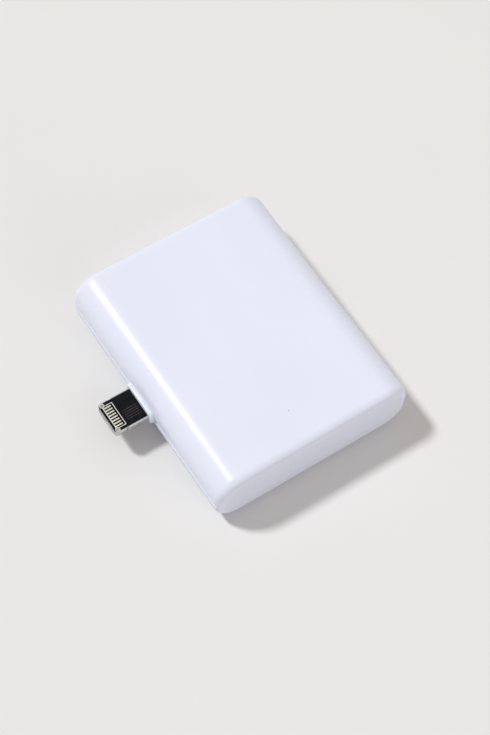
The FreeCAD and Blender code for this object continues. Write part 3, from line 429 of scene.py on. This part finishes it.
black_epoxy = plain_finish("black_epoxy", EPOXY, roughness=(0.5, 0.66), patch=1.2 * MM, grain=0.07 * MM,
                           depth=0.003 * MM)
dimples = bmesh.new()
for node in ("radio_chip", "audio_chip", "memory_chip", "plug_chip", "charge_chip"):
    paint(node, black_epoxy)
    low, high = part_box(node)
    centre = Vector((low.x + DIMPLE_INSET, high.y - DIMPLE_INSET, high.z + DIMPLE_DEPTH / 4))
    bmesh.ops.create_cone(dimples, cap_ends=True, segments=DIMPLE_SIDES, radius1=DIMPLE_RADIUS,
                          radius2=DIMPLE_RADIUS * DIMPLE_TAPER, depth=DIMPLE_DEPTH,
                          matrix=Matrix.Translation(centre))
polished_epoxy = plain_finish("polished_epoxy", EPOXY_POLISHED, roughness=(0.2, 0.3), patch=0.5 * MM,
                              grain=0.1 * MM, depth=0.001 * MM)
new_piece("first_pin_marks", dimples, polished_epoxy)
legs = bmesh.new()
shoulder = memory_low.z + (memory_high.z - memory_low.z) * LEG_SHOULDER
for side in (-1, 1):
    wall_x = memory_low.x if side < 0 else memory_high.x
    bend_x = wall_x + side * LEG_REACH * LEG_BEND
    toe_x = wall_x + side * LEG_REACH
    arm = (wall_x - side * LEG_THICKNESS, bend_x, shoulder, shoulder + LEG_THICKNESS)
    drop = (bend_x - side * LEG_THICKNESS, bend_x, board_top, shoulder + LEG_THICKNESS)
    foot = (bend_x - side * LEG_THICKNESS, toe_x, board_top, board_top + LEG_THICKNESS)
    for number in range(LEG_COUNT):
        y = (memory_low.y + memory_high.y) / 2 + (number - (LEG_COUNT - 1) / 2) * LEG_PITCH
        for from_x, to_x, bottom, top in (arm, drop, foot):
            low = Vector((min(from_x, to_x), y - LEG_WIDTH / 2, bottom))
            high = Vector((max(from_x, to_x), y + LEG_WIDTH / 2, top))
            box_mesh(legs, low, high, LEG_EDGE)
tinned = plain_finish("tinned_metal", LEG_METAL, roughness=(0.22, 0.36), patch=0.8 * MM, grain=0.12 * MM,
                      depth=0.002 * MM, steady={"Metallic": 1.0})
new_piece("memory_chip_legs", legs, tinned)

# Radio parts. The can is drawn from tinned steel and soldered over the radio chip to shield it; the
# crystal is a steel lid on a ceramic cup, and the antenna a bar of fired ceramic with tinned ends.
CAN_TIN = ((172, 174, 176), (190, 192, 194))
CERAMIC = ((196, 196, 190), (210, 210, 204))
END_SHARE = 0.2
ANTENNA_END_SHARE = 0.12
END_PROUD = 0.02 * MM
SAME_POINT = 0.001 * MM

paint("shield_can", plain_finish("tinned_can", CAN_TIN, roughness=(0.24, 0.4), patch=3 * MM,
                                 grain=0.15 * MM, depth=0.002 * MM, steady={"Metallic": 1.0},
                                 stretch=(1, 6, 1)))
paint("crystal", plain_finish("crystal_lid", CAN_TIN, roughness=(0.2, 0.32), patch=1 * MM, grain=0.1 * MM,
                              depth=0.001 * MM, steady={"Metallic": 1.0}))
paint("antenna", plain_finish("fired_ceramic", CERAMIC, roughness=(0.45, 0.6), patch=1 * MM,
                              grain=0.08 * MM, depth=0.002 * MM))


def solids_of(node):
    """The lowest and highest corner of each separate solid in a CAD node."""
    mesh = bmesh.new()
    mesh.from_mesh(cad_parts[node].data)
    bmesh.ops.remove_doubles(mesh, verts=mesh.verts, dist=SAME_POINT)
    waiting = set(mesh.verts)
    boxes = []
    while waiting:
        front = [waiting.pop()]
        members = []
        while front:
            vertex = front.pop()
            members.append(vertex.co.copy())
            found = {edge.other_vert(vertex) for edge in vertex.link_edges} & waiting
            waiting -= found
            front += found
        low = Vector([min(point[axis] for point in members) for axis in range(3)])
        high = Vector([max(point[axis] for point in members) for axis in range(3)])
        boxes.append((low, high))
    mesh.free()
    return sorted(boxes, key=lambda box: tuple(box[0]))


def end_caps(name, node, share=END_SHARE):
    """Metal ends that wrap both ends of each solid in a node, along its longer side."""
    mesh = bmesh.new()
    proud = Vector((END_PROUD, END_PROUD, 0))
    for low, high in solids_of(node):
        axis = 0 if high.x - low.x >= high.y - low.y else 1
        depth = (high[axis] - low[axis]) * share
        for at_high in (False, True):
            cap_low, cap_high = low - proud, high + proud
            cap_high.z += END_PROUD
            if at_high:
                cap_low[axis] = high[axis] - depth
            else:
                cap_high[axis] = low[axis] + depth
            box_mesh(mesh, cap_low, cap_high, END_PROUD)
    new_piece(name, mesh, tinned)


end_caps("antenna_ends", "antenna", ANTENNA_END_SHARE)

# Small parts. Capacitors are tan fired ceramic and resistors black glass on white ceramic, all with
# tinned ends; the coil is wound inside pressed grey ferrite, and the diode is a white moulded shell.
TAN = ((150, 116, 82), (166, 132, 96))
RESISTOR_BLACK = ((22, 22, 24), (34, 34, 36))
FERRITE = ((58, 58, 62), (74, 74, 78))
DIODE_WHITE = ((224, 220, 190), (236, 232, 204))

for node, colours in (("capacitors", TAN), ("resistors", RESISTOR_BLACK)):
    paint(node, plain_finish(node + "_ceramic", colours, roughness=(0.35, 0.55), patch=0.5 * MM,
                             grain=0.05 * MM, depth=0.002 * MM))
paint("power_coil", plain_finish("pressed_ferrite", FERRITE, roughness=(0.55, 0.75), patch=0.6 * MM,
                                 grain=0.05 * MM, depth=0.006 * MM))
paint("status_led", plain_finish("diode_shell", DIODE_WHITE, roughness=(0.3, 0.45), patch=0.5 * MM,
                                 grain=0.08 * MM, depth=0.001 * MM))
for node in ("capacitors", "resistors", "power_coil", "status_led"):
    end_caps(node + "_ends", node)

# Charging socket. The shell is drawn stainless steel, the tongue inside it is black moulded nylon,
# and the spring contacts laid along the tongue are gold over nickel. It is soldered to the board.
SOCKET_STEEL = ((164, 164, 164), (184, 184, 183))
NYLON = ((24, 24, 25), (34, 34, 35))
GOLD = ((214, 178, 104), (230, 198, 128))

drawn_steel = plain_finish("drawn_steel", SOCKET_STEEL, roughness=(0.22, 0.36), patch=2 * MM,
                           grain=0.1 * MM, depth=0.002 * MM, steady={"Metallic": 1.0}, stretch=(10, 1, 1))
black_nylon = plain_finish("black_nylon", NYLON, roughness=(0.4, 0.55), patch=1 * MM, grain=0.08 * MM,
                           depth=0.002 * MM)
gold_plate = plain_finish("gold_plate", GOLD, roughness=(0.2, 0.32), patch=0.5 * MM, grain=0.06 * MM,
                          depth=0.001 * MM, steady={"Metallic": 1.0})
paint("charge_socket_shell", drawn_steel)
paint("charge_socket_tongue", black_nylon)
paint("charge_socket_contacts", gold_plate)

# Audio jack. A block of black moulded nylon with a round nose that fills the hole in the case wall;
# three tinned bronze leaves stand in its slots, and their feet are soldered to the board.
paint("audio_jack_body", black_nylon)
paint("audio_jack_contacts", tinned)

# Button and its switch. The cap is moulded from the case's plastic, with its finish. Behind it a
# side-push switch has a black nylon body, a folded steel lid, a nylon plunger and a snap dome of
# sprung steel.
PLUNGER_GREY = ((44, 44, 46), (54, 54, 56))
SPRING_STEEL = ((186, 186, 184), (204, 204, 202))

paint("button_cap", case_white)
paint("switch_body", black_nylon)
paint("switch_plunger", plain_finish("plunger_nylon", PLUNGER_GREY, roughness=(0.3, 0.42), patch=0.6 * MM,
                                     grain=0.06 * MM, depth=0.001 * MM))
paint("switch_cover", drawn_steel)
paint("switch_dome", plain_finish("spring_steel", SPRING_STEEL, roughness=(0.16, 0.28), patch=0.5 * MM,
                                  grain=0.05 * MM, depth=0.001 * MM, steady={"Metallic": 1.0}))

# Light pipe. A short rod of clear polycarbonate, pushed through the end wall from inside against its
# flange. Its ends are left a little frosted so that they spread the diode's light.
FROSTED = ((226, 232, 236), (236, 241, 244))

paint("light_pipe", plain_finish("frosted_clear", FROSTED, roughness=(0.25, 0.4), patch=1.5 * MM,
                                 grain=0.06 * MM, depth=0.001 * MM,
                                 steady={"Transmission Weight": 0.4, "IOR": 1.58}))

# Plug frame. Machined stainless steel, nickel plated and finely brushed along its length. Two round
# lobes at the tip's corners run through from face to face.
PLUG_METAL = ((186, 188, 188), (208, 209, 208))
BRUSH_GRAIN = 0.05 * MM

paint("plug_frame", plain_finish("brushed_nickel", PLUG_METAL, roughness=(0.24, 0.36), patch=1.2 * MM,
                                 grain=BRUSH_GRAIN, depth=0.001 * MM, steady={"Metallic": 1.0},
                                 stretch=(14, 1, 1)))

# Plug board. Black laminate with a hard gloss lacquer fills the frame on both faces. A thin metal
# border runs round the gold contacts from lobe to lobe, a bar joins their front ends, and some faint
# tracks show through the lacquer towards the root. The contacts' cream paleness is painted
# reflection of the white room, and a bright ring round each lobe is a painted highlight on its rim.
LAMINATE = ((8, 10, 14), (20, 24, 31))
# Gold plating, lightened to cream by painted reflection of the white room.
GOLD_WITH_PAINTED_REFLECTION = ((222, 218, 201), (234, 231, 218))
BORDER_AND_HIGHLIGHT_METAL = ((222, 226, 222), (236, 238, 234))
# The bright border metal also colours the painted highlight rings round the lobes.
FAINT_TRACK = ((42, 37, 44), (54, 48, 56))
BORDER_WIDTH = 0.13 * MM
BORDER_MARGIN = 0.31 * MM
BORDER_BACK = 0.42 * MM
JOINING_WIDTH = 0.16 * MM
LOBE_BACK = 1.2 * MM
JOINING_REACH = 2.35 * MM
FAINT_COUNT = 5
FAINT_PITCH = 0.46 * MM
FAINT_WIDTH = 0.16 * MM
FAINT_FRONT = 3.3 * MM
FAINT_BACK = 6.1 * MM
LINE_RISE = 0.012 * MM
LOBE_MIDDLE = 0.8 * MM
LOBE_APART = 2.65 * MM
LOBE_HIGHLIGHT_RADIUS = 0.38 * MM
LOBE_HIGHLIGHT_WIDTH = 0.09 * MM
LOBE_STEPS = 36

paint("plug_tongue", plain_finish("black_laminate", LAMINATE, roughness=(0.1, 0.18), patch=1 * MM,
                                  grain=0.3 * MM, depth=0.0006 * MM, steady={"Specular IOR Level": 0.16}))
border_metal_and_painted_highlight = plain_finish("border_metal_and_painted_highlight", BORDER_AND_HIGHLIGHT_METAL, roughness=(0.25, 0.4), patch=0.6 * MM,
                            grain=0.05 * MM, depth=0.001 * MM, steady={"Metallic": 0.35})
faint_track = plain_finish("track_under_black", FAINT_TRACK, roughness=(0.2, 0.3), patch=1 * MM,
                           grain=0.1 * MM, depth=0.0006 * MM)
tip_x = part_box("plug_frame")[0].x
for face, side in (("upper", 1), ("lower", -1)):
    pads_low, pads_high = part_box("plug_contacts_" + face)
    pads_y = (pads_low.y + pads_high.y) / 2
    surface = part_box("plug_tongue")[1 if side > 0 else 0].z
    heights = sorted((surface, surface + side * LINE_RISE))
    half_span = (pads_high.y - pads_low.y) / 2 + BORDER_MARGIN
    border = bmesh.new()
    back_x = pads_high.x + BORDER_BACK
    flat_strip(border, [(tip_x + LOBE_BACK, pads_y - half_span), (back_x, pads_y - half_span),
                        (back_x, pads_y + half_span), (tip_x + LOBE_BACK, pads_y + half_span)],
               BORDER_WIDTH, *heights)
    joining_x = pads_low.x - JOINING_WIDTH / 2
    flat_strip(border, [(joining_x, pads_y - JOINING_REACH), (joining_x, pads_y + JOINING_REACH)],
               JOINING_WIDTH, *heights)
    new_piece("contact_border_" + face, border, border_metal_and_painted_highlight)
    faint = bmesh.new()
    for number in range(FAINT_COUNT):
        line_y = pads_y - number * FAINT_PITCH
        line = [(tip_x + FAINT_FRONT, line_y), (tip_x + FAINT_BACK, line_y)]
        flat_strip(faint, line, FAINT_WIDTH, *heights)
    new_piece("plug_tracks_" + face, faint, faint_track)
    # Painted highlight: a bright ring round each lobe stands in for the light caught on its rim.
    lobe_highlights = bmesh.new()
    face_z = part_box("plug_frame")[1 if side > 0 else 0].z
    highlight_heights = sorted((face_z, face_z + side * LINE_RISE))
    for lobe_side in (-1, 1):
        lobe_y = pads_y + lobe_side * LOBE_APART
        turns = [2 * math.pi * step / LOBE_STEPS for step in range(LOBE_STEPS)]
        highlight_path = [(tip_x + LOBE_MIDDLE + LOBE_HIGHLIGHT_RADIUS * math.cos(turn), lobe_y + LOBE_HIGHLIGHT_RADIUS * math.sin(turn))
                     for turn in turns]
        flat_strip(lobe_highlights, highlight_path, LOBE_HIGHLIGHT_WIDTH, *highlight_heights, closed=True)
    new_piece("painted_lobe_highlights_" + face, lobe_highlights, border_metal_and_painted_highlight)
# Painted reflection: the contacts' gold is mixed with the white of the room it reflects.
gold_with_painted_reflection = plain_finish("gold_plate_painted_reflection", GOLD_WITH_PAINTED_REFLECTION, roughness=(0.3, 0.42), patch=0.5 * MM,
                         grain=0.06 * MM, depth=0.001 * MM, steady={"Metallic": 0.55})
paint("plug_contacts_upper", gold_with_painted_reflection)
paint("plug_contacts_lower", gold_with_painted_reflection)
paint("plug_bracket", drawn_steel)

# Plug collar. A softer, slightly translucent white plastic moulded round the root of the plug; its
# flange is caught behind the wall when the case is closed.
COLLAR = ((222, 229, 240), (230, 236, 245))
MILKY = {"Subsurface Weight": 0.35, "Subsurface Scale": 0.5 * MM, "Subsurface Radius": (1.0, 1.0, 1.0)}

paint("plug_collar", plain_finish("soft_white", COLLAR, roughness=(0.3, 0.4), patch=2 * MM,
                                  grain=0.1 * MM, depth=0.001 * MM, steady=MILKY))

# Top cover. The rest of the case, from the same white ABS as the bottom, with both end walls moulded
# down to its foot. It drops over the lip of the bottom cover and snaps onto the beads, and a shallow
# reveal along its lower edge on each side leaves a fine line at the seam.
paint("top_cover", case_white)

# Floor. A wide sheet of matt off-white board that the part lies on. It is a hair below the foot, so
# that the two faces don't share a plane.
FLOOR_WHITE = ((229, 228, 227), (231, 230, 229))
FLOOR_HALF = 3.0
FLOOR_STEPS = 4
FLOOR_GAP = 0.01 * MM

floor_mesh = bmesh.new()
bmesh.ops.create_grid(floor_mesh, x_segments=FLOOR_STEPS, y_segments=FLOOR_STEPS, size=FLOOR_HALF)
floor_data = bpy.data.meshes.new("floor")
floor_mesh.to_mesh(floor_data)
floor_mesh.free()
floor = bpy.data.objects.new("floor", floor_data)
bpy.context.scene.collection.objects.link(floor)
floor_data.materials.append(plain_finish("matt_board", FLOOR_WHITE, roughness=(0.8, 0.95), patch=60 * MM,
                                         grain=0.5 * MM, depth=0.002 * MM,
                                         steady={"Specular IOR Level": 0.1}))
floor.location.z = cad_box[0].z - FLOOR_GAP

# Light. A far softbox, high on the plug's side, makes the main shadow; a broad pale screen stands
# low in front of the near end, and the warm room, darker beyond the plug, fills the rest.
KEY_DIRECTION = Vector((-0.367, 0.456, 0.811))
KEY_DISTANCE = 8.0
KEY_SIZE = 1.15
KEY_POWER = 418.0
KEY_COLOUR = (0.965, 0.985, 1.0)
SCREEN_DIRECTION = Vector((0.15, -0.9, 0.4))
SCREEN_DISTANCE = 0.9
SCREEN_SIZE = 0.9
SCREEN_POWER = 1.6
SCREEN_COLOUR = (0.94, 0.96, 1.0)
ROOM_COLOUR = (1.0, 0.944, 0.898, 1.0)
ROOM_STRENGTH = 0.495
ROOM_DARK_SIDE = 0.67
FADE_START = -0.9
FADE_END = 0.0


def soft_light(name, direction, distance, size, power, colour):
    """A round soft light that points at the part from a direction."""
    data = bpy.data.lights.new(name, "AREA")
    data.shape = "DISK"
    data.size = size
    data.energy = power
    data.color = colour
    lamp = bpy.data.objects.new(name, data)
    bpy.context.scene.collection.objects.link(lamp)
    lamp.location = direction.normalized() * distance
    lamp.rotation_euler = direction.to_track_quat("Z", "Y").to_euler()


soft_light("softbox", KEY_DIRECTION, KEY_DISTANCE, KEY_SIZE, KEY_POWER, KEY_COLOUR)
soft_light("screen", SCREEN_DIRECTION, SCREEN_DISTANCE, SCREEN_SIZE, SCREEN_POWER, SCREEN_COLOUR)
room = bpy.data.worlds.new("pale_room")
room.use_nodes = True
room.node_tree.nodes["Background"].inputs["Color"].default_value = ROOM_COLOUR
toward = room.node_tree.nodes.new("ShaderNodeTexCoord")
split = room.node_tree.nodes.new("ShaderNodeSeparateXYZ")
room.node_tree.links.new(toward.outputs["Generated"], split.inputs["Vector"])
fade = spread(room.node_tree, split.outputs["X"], ROOM_STRENGTH * ROOM_DARK_SIDE, ROOM_STRENGTH,
              FADE_START, FADE_END)
room.node_tree.links.new(fade, room.node_tree.nodes["Background"].inputs["Strength"])
bpy.context.scene.world = room
bpy.context.scene.view_settings.view_transform = "Standard"

# Camera. It looks down on the part from beyond the plug, a little turned about its own axis, and its
# long lens keeps the edges of the case almost parallel.
VIEW_TARGET = Vector((-0.93 * MM, -3.57 * MM, 6.0 * MM))
VIEW_TURN = math.radians(-39.66)
VIEW_RISE = math.radians(61.74)
VIEW_ROLL = math.radians(7.14)
VIEW_DISTANCE = 0.3212
LENS = 88.46

back = Vector((math.sin(VIEW_TURN) * math.cos(VIEW_RISE), -math.cos(VIEW_TURN) * math.cos(VIEW_RISE),
               math.sin(VIEW_RISE)))
lens = bpy.data.cameras.new("camera")
lens.lens = LENS
lens.sensor_width = 36.0
lens.clip_start = 0.01
camera = bpy.data.objects.new("camera", lens)
bpy.context.scene.collection.objects.link(camera)
camera.matrix_world = (Matrix.Translation(VIEW_TARGET + back * VIEW_DISTANCE)
                       @ back.to_track_quat("Z", "Y").to_matrix().to_4x4()
                       @ Matrix.Rotation(VIEW_ROLL, 4, "Z"))
bpy.context.scene.camera = camera
